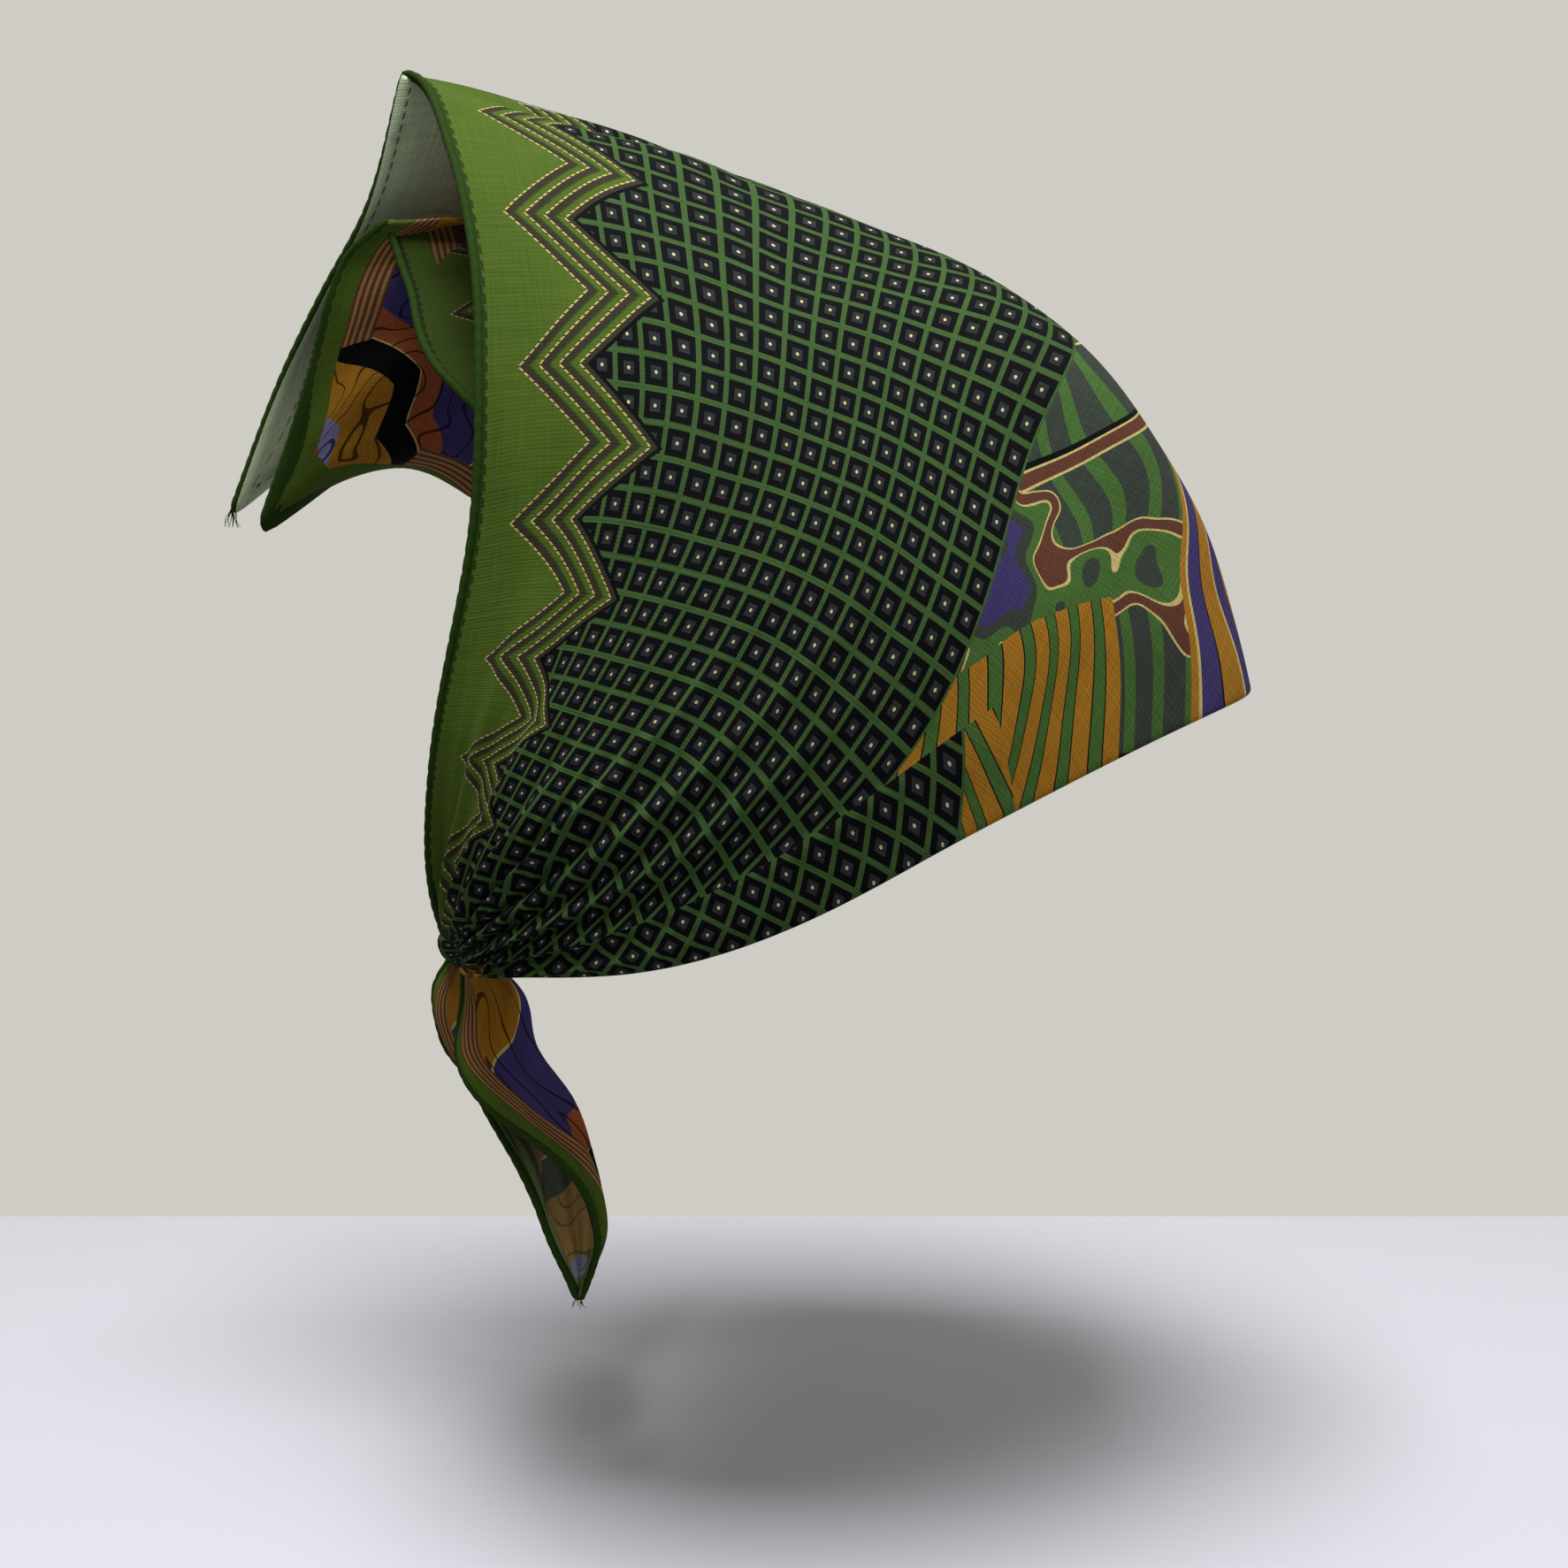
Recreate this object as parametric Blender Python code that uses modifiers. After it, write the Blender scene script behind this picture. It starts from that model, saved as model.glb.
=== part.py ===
# Headscarf: a square of thin printed cotton, folded on its diagonal and tied at the nape
#
# Metres, +Z up, +X towards the forehead, -Y the wearer's right side. The origin is the top of the
# wearer's crown, where the scarf sits. The hood is a fan of sections through the knot: each section
# leaves the knot, goes round one side of the head, over the top and back to the knot.

import math

import bpy
import numpy as np

# Driving sizes of the tied scarf
NAPE_BACK = 0.082  # knot behind the crown
NAPE_DROP = 0.156  # knot below the crown
HOOD_REACH = 0.192  # knot to the front of the crown
HOOD_WIDTH = 0.156  # across the widest part
FOLD_TILT = math.radians(19.5)  # the fold over the forehead, up from level, seen from the knot
PEAK_TILT = math.radians(94.4)  # the standing rear edge, seen from the knot
UNDER_PEAK_TILT = math.radians(97.0)  # the same for the layer next to the head
CORNER_REACH = 0.106  # rear peak to the tip of the outer corner
UNDER_CORNER_REACH = 0.074  # rear peak of the under layer to the tip of its corner
CORNER_LEAN = 0.020  # how far the hanging corner lies towards the far side
TAIL_LENGTH = 0.074
TAIL_WIDTH = 0.019
KNOT_WIDTH = 0.020
KNOT_HEIGHT = 0.014
KNOT_RISE = 0.004  # the knot's middle above the point that the gathers run to
KNOT_DENT = 0.10  # the turns of cloth sink this share of the knot's radius between them
KNOT_SEAT = 0.50  # share of the knot's round that the cloth running into it follows

# Cloth
CLOTH = 0.0010  # wall of one layer
HEM_WIDTH = 0.0040
HEM_CLOTH = 0.0016  # the turned hem is a thicker rim of the same wall
CLEARANCE = 0.0004  # between two pieces that touch
GATHER_DEPTH = 0.0013  # height of the pleats that run into the knot
GATHERS = 5  # pleats on each side
GATHER_RADIUS = 0.0075  # the gathered cloth where it enters the knot
GATHERED = (0.6, 1.0)  # shares of the way from the top to the knot between which the cloth bunches up
BESIDE_KNOT = (0.5, 0.85)  # between which it spreads to pass beside the knot
PLEATS_RISE = (0.55, 0.8)  # between which the pleats deepen
PLEATS_FALL = (0.86, 1.0)  # between which they flatten again
VALLEY_PLACE = -0.07  # middle of the valley, from the top (0) to the knot on the near side (-1)
VALLEY_SPREAD = 0.045

# Mesh
HOOD_ROWS = 25
HOOD_COLUMNS = 58
UNDER_ROWS = 20
UNDER_COLUMNS = 46
TAIL_ROWS = 16
TAIL_COLUMNS = 10
KNOT_ROWS = 12
KNOT_COLUMNS = 20

# Sections of the crown layer, one row each, from the forehead fold (0) to the rear edge (1):
# fan, reach (share of HOOD_REACH), half width (share of half HOOD_WIDTH), ridge (1 round, more is
# sharper), shift of the top towards the far side and depth of the valley beside it (both shares of
# half HOOD_WIDTH)
CROWN_SECTIONS = (
    (0.00, 0.943, 0.955, 1.00, 0.00, 0.00),
    (0.18, 0.972, 1.000, 1.00, 0.00, 0.00),
    (0.36, 0.984, 1.000, 1.00, 0.00, 0.00),
    (0.60, 0.957, 0.915, 1.08, 0.04, 0.02),
    (0.80, 0.994, 0.760, 1.40, 0.14, 0.09),
    (1.00, 1.024, 0.580, 2.00, 0.00, 0.00),
)
# The same for the under layer, which lies lower and narrower behind the crown
UNDER_SECTIONS = (
    (0.00, 0.943, 0.955, 1.00, 0.00, 0.00),
    (0.18, 0.972, 1.000, 1.00, 0.00, 0.00),
    (0.36, 0.980, 0.990, 1.00, 0.00, 0.00),
    (0.60, 0.920, 0.860, 1.15, 0.00, 0.00),
    (0.80, 0.880, 0.700, 2.20, 0.00, 0.00),
    (1.00, 0.865, 0.600, 4.20, 0.00, 0.00),
)
# Tilt of the front fold and of the rear edges along a section, from the top (0) to the knot (1):
# along, tilt as a share of the tilt at the top
FOLD_LINE = ((0.00, 1.00), (0.45, 0.82), (0.69, 0.31), (0.82, 0.28), (1.00, 0.28))
REAR_LINE = (
    (0.00, 1.00),
    (0.20, 0.964),
    (0.42, 0.905),
    (0.54, 0.890),
    (0.70, 0.945),
    (0.85, 1.02),
    (1.00, 1.04),
)
UNDER_REAR_LINE = ((0.00, 1.00), (0.20, 0.98), (0.32, 0.945), (0.46, 0.79), (0.70, 0.84), (1.00, 0.88))

# Free edge of the hanging corner, on the far side, from the rear peak (0) to the knot (1):
# along, back and up from the peak (shares of the corner's reach), out (share of CORNER_LEAN)
CORNER_EDGE = (
    (0.00, 0.000, 0.000, 0.0),
    (0.09, 0.094, -0.274, 0.4),
    (0.19, 0.255, -0.575, 0.8),
    (0.28, 0.425, -0.887, 1.0),
)
# Then up behind the corner's crease and down to the knot:
# along, back and up from the peak (shares of CORNER_REACH), out (share of half HOOD_WIDTH)
FAR_EDGE = (
    (0.38, 0.240, -0.650, 0.56),
    (0.50, 0.020, -0.600, 0.74),
    (0.64, -0.160, -0.900, 0.74),
    (0.82, -0.190, -1.380, 0.52),
)
# The same for the under layer (shares of UNDER_CORNER_REACH), inside the crown layer's edge
UNDER_FAR_EDGE = (
    (0.38, 0.160, -0.600, 0.45),
    (0.50, -0.120, -0.560, 0.60),
    (0.64, -0.340, -0.950, 0.62),
    (0.82, -0.360, -1.560, 0.44),
)
CORNER_SPAN = 0.55  # the part of the fan that the hanging corner bends
CORNER_EASE = 2.2  # how late in that part it bends back and out
DROP_EASE = 5.5  # and how late it drops, which leaves a crease that runs up from the tip

# The free ends, one row for each section down from the knot: along, forward and outward from the
# knot (shares of TAIL_LENGTH), width (share of TAIL_WIDTH), turn of the opening (degrees), wrap
NEAR_TAIL_SECTIONS = (
    (0.00, 0.040, 0.01, 0.40, 180.0, 150.0),
    (0.08, 0.075, 0.02, 0.66, 182.0, 150.0),
    (0.26, 0.100, 0.06, 0.96, 186.0, 148.0),
    (0.40, 0.185, 0.08, 1.02, 205.0, 142.0),
    (0.57, 0.290, 0.09, 0.80, 240.0, 130.0),
    (0.78, 0.335, 0.06, 0.67, 270.0, 115.0),
    (1.00, 0.340, 0.02, 0.08, 280.0, 90.0),
)
FAR_TAIL_SECTIONS = (
    (0.00, -0.02, 0.01, 0.40, 180.0, 150.0),
    (0.08, 0.010, 0.03, 0.62, 182.0, 150.0),
    (0.26, 0.045, 0.07, 0.82, 186.0, 148.0),
    (0.40, 0.120, 0.09, 0.86, 200.0, 142.0),
    (0.57, 0.210, 0.10, 0.74, 225.0, 130.0),
    (0.78, 0.280, 0.07, 0.56, 250.0, 115.0),
    (1.00, 0.320, 0.03, 0.08, 260.0, 90.0),
)

COLOURS = {
    "printed_green_cotton": (0.10, 0.22, 0.06),
    "pale_wrong_side_cotton": (0.22, 0.33, 0.16),
    "dark_hem_cotton": (0.04, 0.12, 0.03),
    "ochre_print_cotton": (0.42, 0.20, 0.03),
}


# Numbers

def smooth_table(table, column, at):
    """Value of one column at the places `at`: cubic pieces through the rows, level at neither end."""
    rows = np.array([[row[0], row[column]] for row in table], float)
    x, y = rows[:, 0], rows[:, 1]
    slope = np.gradient(y, x)
    at = np.clip(at, x[0], x[-1])
    i = np.clip(np.searchsorted(x, at, side="right") - 1, 0, len(x) - 2)
    step = x[i + 1] - x[i]
    s = (at - x[i]) / step
    start = (1 + 2 * s) * (1 - s) ** 2 * y[i] + s * (1 - s) ** 2 * step * slope[i]
    return start + s**2 * (3 - 2 * s) * y[i + 1] + s**2 * (s - 1) * step * slope[i + 1]


def ease(low, high, at):
    """0 below low, 1 above high, smooth between."""
    s = np.clip((at - low) / (high - low), 0, 1)
    return s * s * (3 - 2 * s)


# The hood

def knot_place():
    return np.array([-NAPE_BACK, 0.0, -NAPE_DROP])


def knot_side(forward, up):
    """Half width of the knot at a place forward of and above the nape point."""
    off = (forward**2 + (up - KNOT_RISE) ** 2) / (KNOT_HEIGHT / 2) ** 2
    return KNOT_WIDTH / 2 * np.sqrt(np.clip(1 - off, KNOT_SEAT, 1))


def knot_underside(forward, outward):
    """Height of the knot's underside above the nape point."""
    off = (forward / (KNOT_HEIGHT / 2)) ** 2 + (outward / (KNOT_WIDTH / 2)) ** 2
    return KNOT_RISE - KNOT_HEIGHT / 2 * np.sqrt(np.clip(1 - off, KNOT_SEAT, 1))


def regular_hood(fan, across, sections, rear_tilt, rear_line, inset):
    """Points of a hood with no hanging corner. fan runs from the fold (0) to the rear edge (1), and
    across from the knot round the near side (-1) over the top (0) and round the far side (1)."""
    along = np.abs(across)
    round_head = math.pi * along
    fold = FOLD_TILT * smooth_table(FOLD_LINE, 1, along)
    tilt = fold + (rear_tilt * smooth_table(rear_line, 1, along) - fold) * fan
    fan = (tilt - fold) / (PEAK_TILT * smooth_table(REAR_LINE, 1, along) - fold)
    reach = HOOD_REACH * smooth_table(sections, 1, fan)
    half_width = HOOD_WIDTH / 2 * smooth_table(sections, 2, fan)
    ridge = smooth_table(sections, 3, fan)
    ends = ease(*GATHERED, along)
    out = reach / 2 * (1 + np.cos(round_head))
    out = np.sqrt(out**2 + (GATHER_RADIUS * ends) ** 2) - inset * np.cos(round_head)
    side = (half_width - inset) * np.sin(round_head) ** ridge
    beside_knot = knot_side(out * np.cos(tilt), out * np.sin(tilt)) + CLOTH
    side = side + ease(*BESIDE_KNOT, along) * beside_knot
    y = np.sign(across) * side
    y = y + HOOD_WIDTH / 2 * smooth_table(sections, 4, fan) * np.cos(round_head / 2) ** 6
    valley = HOOD_WIDTH / 2 * smooth_table(sections, 5, fan)
    out = out - valley * np.exp(-(((across - VALLEY_PLACE) / VALLEY_SPREAD) ** 2))
    pleat = ease(*PLEATS_RISE, along) * (1 - ease(*PLEATS_FALL, along))
    y = y + np.sign(across) * GATHER_DEPTH * pleat * np.cos(2 * math.pi * GATHERS * fan)
    knot = knot_place()
    return np.stack([knot[0] + out * np.cos(tilt), y, knot[2] + out * np.sin(tilt)], axis=-1)


def free_edge(across, peak, reach, end, far_edge):
    """The edge of the hanging corner from the rear peak to its tip, then to the far side of the knot."""
    lean = CORNER_LEAN * reach / CORNER_REACH
    to_tip = np.stack(
        [
            peak[0] - reach * smooth_table(CORNER_EDGE, 1, across),
            peak[1] + lean * smooth_table(CORNER_EDGE, 3, across),
            peak[2] + reach * smooth_table(CORNER_EDGE, 2, across),
        ],
        axis=-1,
    )
    last = (1.0, (peak[0] - end[0]) / reach, (end[2] - peak[2]) / reach, 2 * end[1] / HOOD_WIDTH)
    first = CORNER_EDGE[-1][:3] + (2 * lean / HOOD_WIDTH,)
    rows = (first,) + far_edge + (last,)
    to_knot = np.stack(
        [
            peak[0] - reach * smooth_table(rows, 1, across),
            HOOD_WIDTH / 2 * smooth_table(rows, 3, across),
            peak[2] + reach * smooth_table(rows, 2, across),
        ],
        axis=-1,
    )
    return np.where((across < CORNER_EDGE[-1][0])[..., None], to_tip, to_knot)


def hood(fan, across, sections, rear_tilt, rear_line, inset, reach, far_edge):
    """The hood with its hanging corner: the far side is drawn out to the corner's free edge."""
    points = regular_hood(fan, across, sections, rear_tilt, rear_line, inset)
    far = np.maximum(across, 0.0)
    rear = regular_hood(np.ones_like(fan), far, sections, rear_tilt, rear_line, inset)
    one = np.ones((1, 1))
    peak = regular_hood(one, 0 * one, sections, rear_tilt, rear_line, inset)[0, 0]
    end = regular_hood(one, one, sections, rear_tilt, rear_line, inset)[0, 0]
    edge = free_edge(far, peak, reach, end, far_edge)
    bent = np.clip((fan - 1 + CORNER_SPAN) / CORNER_SPAN, 0, 1)
    pull = np.stack([bent**CORNER_EASE, bent**CORNER_EASE, bent**DROP_EASE], axis=-1)
    drawn = points + pull * (edge - rear)
    return np.where((across > 0)[..., None], drawn, points)


def grid(rows, columns, first=0.0):
    """fan and across over a grid, closer together at the rear edge and towards the knot."""
    fan = np.linspace(first, 1, rows)
    across = np.linspace(-1, 1, columns)
    across = across + 0.06 * np.sin(math.pi * across)
    return np.meshgrid(fan, across, indexing="ij")


# Blender objects

def material(name, roughness=0.9):
    made = bpy.data.materials.get(name) or bpy.data.materials.new(name)
    made.use_nodes = True
    shader = made.node_tree.nodes["Principled BSDF"]
    shader.inputs["Base Color"].default_value = (*COLOURS[name], 1)
    shader.inputs["Roughness"].default_value = roughness
    shader.inputs["Metallic"].default_value = 0.0
    return made


def sheet_object(name, points, cloth, home, colour):
    """An open sheet from a grid of points (rows, columns, 3), given its wall by Solidify. cloth is
    the wall at each point."""
    rows, columns = points.shape[:2]
    index = np.arange(rows * columns).reshape(rows, columns)
    corners = (index[:-1, :-1], index[1:, :-1], index[1:, 1:], index[:-1, 1:])
    faces = np.stack(corners, axis=-1).reshape(-1, 4)
    mesh = bpy.data.meshes.new(name)
    mesh.from_pydata(points.reshape(-1, 3).tolist(), [], faces.tolist())
    mesh.shade_smooth()
    made = bpy.data.objects.new(name, mesh)
    home.objects.link(made)
    group = made.vertex_groups.new(name="wall")
    thickest = float(cloth.max())
    for vertex, wall in enumerate(cloth.reshape(-1)):
        group.add([vertex], float(wall / thickest), "REPLACE")
    solid = made.modifiers.new("wall", "SOLIDIFY")
    solid.thickness = thickest
    solid.offset = -1.0
    solid.vertex_group = group.name
    solid.use_even_offset = False
    made.data.materials.append(material(colour))
    return made


def wall_of(points, edges):
    """The wall at each point: HEM_CLOTH within HEM_WIDTH of an edge that is hemmed, CLOTH elsewhere.
    edges names the hemmed sides of the grid."""
    rows, columns = points.shape[:2]
    wall = np.full((rows, columns), CLOTH)
    if "last_row" in edges:
        step = np.linalg.norm(points[-1] - points[-2], axis=-1)
        wall[-1] = HEM_CLOTH
        wall[-2] = np.where(step < HEM_WIDTH, HEM_CLOTH, CLOTH)
    if "columns" in edges:
        wall[:, 0] = HEM_CLOTH
        wall[:, -1] = HEM_CLOTH
    return wall


def hem_rows(fan, across, make):
    """The grid of points with one more row HEM_WIDTH inside the rear edge, where the hem ends."""
    points = make(fan, across)
    length = np.linalg.norm(points[-1] - points[-2], axis=-1)
    share = np.clip(HEM_WIDTH / np.maximum(length, 1e-6), 0.05, 0.8)
    inside = fan[-1] - share * (fan[-1] - fan[-2])
    fan = np.vstack([fan[:-1], inside[None], fan[-1:]])
    across = np.vstack([across[:-1], across[-1:], across[-1:]])
    return make(fan, across)


def crown_layer(home):
    fan, across = grid(HOOD_ROWS, HOOD_COLUMNS)

    def make(fan, across):
        return hood(
            fan, across, CROWN_SECTIONS, PEAK_TILT, REAR_LINE, 0.0, CORNER_REACH, FAR_EDGE
        )

    points = hem_rows(fan, across, make)
    wall = np.full(points.shape[:2], CLOTH)
    wall[-2:] = HEM_CLOTH
    return sheet_object("crown_layer", points, wall, home, "printed_green_cotton")


def under_layer(home):
    inset = HEM_CLOTH + CLEARANCE
    fan, across = grid(UNDER_ROWS, UNDER_COLUMNS, first=0.012)

    def make(fan, across):
        return hood(
            fan,
            across,
            UNDER_SECTIONS,
            UNDER_PEAK_TILT,
            UNDER_REAR_LINE,
            inset,
            UNDER_CORNER_REACH,
            UNDER_FAR_EDGE,
        )

    points = hem_rows(fan, across, make)
    wall = np.full(points.shape[:2], CLOTH)
    wall[-2:] = HEM_CLOTH
    return sheet_object("under_layer", points, wall, home, "pale_wrong_side_cotton")


def tail(name, side, sections, home):
    """A free end: a strip with a C-shaped section that turns as it hangs. side is -1 near, 1 far."""
    down = np.linspace(0, 1, TAIL_ROWS)
    across = np.linspace(-1, 1, TAIL_COLUMNS)
    down, across = np.meshgrid(down, across, indexing="ij")
    radius = TAIL_WIDTH / 2 * smooth_table(sections, 3, down)
    turn = np.radians(smooth_table(sections, 4, down) + 180)
    angle = turn + across * np.radians(smooth_table(sections, 5, down))
    forward = TAIL_LENGTH * smooth_table(sections, 1, down) + radius * np.cos(angle)
    outward = KNOT_WIDTH / 4 + TAIL_LENGTH * smooth_table(sections, 2, down)
    outward = outward - radius * np.sin(angle)
    top = knot_underside(forward[0], outward[0]) - CLEARANCE
    up = top * (1 - down) - TAIL_LENGTH * down
    points = np.stack([forward, side * outward, up], axis=-1) + knot_place()
    wall = wall_of(points, ("columns", "last_row"))
    if side > 0:
        points = points[:, ::-1]
    return sheet_object(name, points, wall, home, "ochre_print_cotton")


def knot(home):
    """The tight knot: a rounded lump with the turns of the gathered cloth wound round it."""
    down = np.linspace(0, math.pi, KNOT_ROWS)[1:-1]
    turn = np.linspace(0, 2 * math.pi, KNOT_COLUMNS, endpoint=False)
    down, turn = np.meshgrid(down, turn, indexing="ij")
    ring = np.sin(down) * (1 - KNOT_DENT * np.cos(turn + 2 * down) ** 2)
    forward = KNOT_HEIGHT / 2 * ring * np.cos(turn)
    outward = KNOT_WIDTH / 2 * ring * np.sin(turn)
    up = KNOT_RISE + KNOT_HEIGHT / 2 * np.cos(down)
    points = np.stack([forward, outward, up], axis=-1) + knot_place()
    rows, columns = points.shape[:2]
    index = np.arange(rows * columns).reshape(rows, columns)
    following = np.roll(index, -1, axis=1)
    corners = (index[:-1], index[1:], following[1:], following[:-1])
    faces = np.stack(corners, axis=-1).reshape(-1, 4).tolist()
    faces += [index[0].tolist(), index[-1][::-1].tolist()]
    mesh = bpy.data.meshes.new("knot")
    mesh.from_pydata(points.reshape(-1, 3).tolist(), [], faces)
    mesh.shade_smooth()
    made = bpy.data.objects.new("knot", mesh)
    home.objects.link(made)
    made.data.materials.append(material("dark_hem_cotton"))
    return made


def main():
    for old in list(bpy.data.objects):
        bpy.data.objects.remove(old)
    home = bpy.data.collections.new("headscarf")
    bpy.context.scene.collection.children.link(home)
    crown_layer(home)
    under_layer(home)
    knot(home)
    tail("tail_near", -1, NEAR_TAIL_SECTIONS, home)
    tail("tail_far", 1, FAR_TAIL_SECTIONS, home)


main()
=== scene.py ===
import math
from functools import partial

import bpy
import numpy as np
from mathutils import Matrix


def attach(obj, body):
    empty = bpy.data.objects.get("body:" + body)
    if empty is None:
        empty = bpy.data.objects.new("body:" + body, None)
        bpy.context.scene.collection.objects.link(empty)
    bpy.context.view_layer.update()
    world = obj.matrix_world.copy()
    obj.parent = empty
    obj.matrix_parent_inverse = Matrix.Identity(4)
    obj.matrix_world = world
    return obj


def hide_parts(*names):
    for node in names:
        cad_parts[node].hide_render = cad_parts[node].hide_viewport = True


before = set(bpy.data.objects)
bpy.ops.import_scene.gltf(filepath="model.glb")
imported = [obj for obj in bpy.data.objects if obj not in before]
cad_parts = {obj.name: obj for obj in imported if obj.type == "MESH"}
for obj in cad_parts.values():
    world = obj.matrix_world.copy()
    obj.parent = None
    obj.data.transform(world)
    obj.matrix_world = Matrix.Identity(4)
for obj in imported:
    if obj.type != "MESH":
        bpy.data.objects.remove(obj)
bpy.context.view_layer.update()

print("frame loaded")


# Numbers

def readTable(rows, column, at):
    # Cubic pieces through the rows of a short table (first column: where), each row's slope taken
    # from its neighbours.
    where = np.array([row[0] for row in rows], float)
    value = np.array([row[column] for row in rows], float)
    slope = np.gradient(value, where)
    at = np.clip(at, where[0], where[-1])
    i = np.clip(np.searchsorted(where, at, side="right") - 1, 0, len(where) - 2)
    step = where[i + 1] - where[i]
    s = (at - where[i]) / step
    start = (1 + 2 * s) * (1 - s) ** 2 * value[i] + s * (1 - s) ** 2 * step * slope[i]
    return start + s**2 * (3 - 2 * s) * value[i + 1] + s**2 * (s - 1) * step * slope[i + 1]


def easeBetween(low, high, at):
    # 0 below low, 1 above high, smooth between.
    s = np.clip((at - low) / (high - low), 0, 1)
    return s * s * (3 - 2 * s)


def sheetNormals(points):
    # Cross product of the two grid directions at each point, made one long.
    down = np.gradient(points, axis=0)
    across = np.gradient(points, axis=1)
    normal = np.cross(down, across)
    return normal / np.maximum(np.linalg.norm(normal, axis=-1, keepdims=True), 1e-9)


# Materials

def linearColour(code):
    # sRGB hex to the linear values that the shader reads.
    part = [int(code[i : i + 2], 16) / 255 for i in (1, 3, 5)]
    return [c / 12.92 if c <= 0.04045 else ((c + 0.055) / 1.055) ** 2.4 for c in part]


def addNode(tree, kind, inputs=(), bands=(), **settings):
    # Adds a node, sets its fields and a ramp's bands, and links or sets its inputs, given in order
    # or by number. Returns its first live output.
    made = tree.nodes.new("ShaderNode" + kind)
    for name, value in settings.items():
        setattr(made, name, value)
    if bands:
        made.color_ramp.interpolation = "CONSTANT"
        stops = made.color_ramp.elements
        while len(stops) < len(bands):
            stops.new(0.5)
        for stop, (place, colour) in zip(stops, bands):
            stop.position = place
            stop.color = (*linearColour(colour), 1)
    for number, given in inputs.items() if isinstance(inputs, dict) else enumerate(inputs):
        if isinstance(given, bpy.types.NodeSocket):
            tree.links.new(given, made.inputs[number])
        elif isinstance(given, str):
            made.inputs[number].default_value = (*linearColour(given), 1)
        elif given is not None:
            made.inputs[number].default_value = given
    return next(output for output in made.outputs if output.enabled)


def layOver(node, colour, *layers):
    # Lays colours one over another, each where its value passes the test against its limit.
    for value, test, limit, over in layers:
        share = node("Math", (value, limit), operation=test)
        colour = node("Mix", {0: share, 6: colour, 7: over}, data_type="RGBA")
    return colour


printLook = {
    # Lengths are in mm on the flat square; lines, gaps and sizes within a pitch are shares of it.
    "side": 440.0,  # the square before it is tied
    "hem": 2.4,
    "cell": 6.8,  # lozenge pitch
    "latticeLine": 0.19,  # green line, as a share of the pitch
    "lozengeSize": 0.19,
    "dotSize": 0.055,
    "borderStart": 10.5,
    "borderDepth": 19.5,
    "borderPeriod": 30.6,
    "borderWidth": 20.0,
    "goldStep": 5.45,
    "goldLine": 0.11,  # gold line, as a share of the step
    "goldDash": 1.1,
    "goldGap": 0.3,
    "blackEdge": 2.3,  # green past the last gold line before the black begins
    "panelFrom": 145.2,
    "panelRow": 38.0,
    "rowShift": 2.0,
    "barStep": 10.5,
    "swaySize": 46.0,
    "frontFrom": 449.0,
    "lowUpTo": 74.0,
    "lowBefore": 425.0,
    "leafFrom": 0.55,
    "cornerTo": 116.0,  # the corner's motif is cut off across the corner
    "cornerScale": 100.0,
    "curlStep": 0.05,
    "curlLine": 0.006,
    "curlDepth": 0.8,
    "tipStripeStep": 1.9,
    "tipStripes": 7.5,
    "tipStripesFrom": 38.0,
    "thread": 0.8,
    "stitchStep": 3.2,
    "stitchShare": 0.6,
    "stitchInset": 0.3,
    "stitchWidth": 0.28,
    "paleOver": 110.0,
    # Colours as they look in strong light; each side's depth scales them, on some sides as painted shade or
    # painted light.
    "margin": "#455a1d",
    "hemGreen": "#24390f",
    "latticeGreen": "#38522a",
    "black": "#08090b",
    "lozenge": "#282b2c",
    "dot": "#b9b28c",
    "gold": "#b3a468",
    "charcoal": "#302d22",
    "olive": "#2f4219",
    "panel": "#333a33",
    "comb": "#3f5f2c",
    "maroon": "#573529",
    "ochre": "#96681e",
    "tan": "#8e6d3e",
    "purple": "#3a3260",
    "lilac": "#7d76a0",
    "rust": "#8a4a2a",
    # Pale: painted light through the free cloth mixes the colour towards this, over paleOver mm.
    "pale": "#9aa58a",
}


def borderPrint(node, look, fromSide, fromCorner):
    # Zigzag border: a triangle wave along the side is taken from the distance to the side.
    turn = node("Math", (look["side"] / 2, fromCorner), operation="SUBTRACT")
    turn = node("Math", (turn, look["borderPeriod"]), operation="DIVIDE")
    wave = node("Math", (turn, 0.5), operation="PINGPONG")
    wave = node("Math", (wave, 2 * look["borderDepth"]), operation="MULTIPLY")
    inBorder = node("Math", (fromSide, look["borderStart"]), operation="SUBTRACT")
    inBorder = node("Math", (inBorder, wave), operation="SUBTRACT")
    stripe = node("Math", (inBorder, look["goldStep"]), operation="DIVIDE")
    stripe = node("Math", (stripe,), operation="FRACT")
    border = node("ValToRGB", (stripe,), bands=(
        (0.0, look["gold"]), (look["goldLine"], look["charcoal"]), (0.52, look["olive"]),
        (0.64, look["margin"]),
    ))
    dash = node("Math", (fromCorner, look["goldDash"]), operation="DIVIDE")
    dash = node("Math", (dash,), operation="FRACT")
    dash = node("Math", (dash, look["goldGap"]), operation="LESS_THAN")
    onGold = node("Math", (stripe, look["goldLine"]), operation="LESS_THAN")
    gap = node("Math", (onGold, dash), operation="MULTIPLY")
    border = layOver(
        node, border,
        (gap, "GREATER_THAN", 0.5, look["charcoal"]),
        (inBorder, "GREATER_THAN", 3 * look["goldStep"] + look["blackEdge"], look["black"]),
    )
    return border, inBorder


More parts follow.
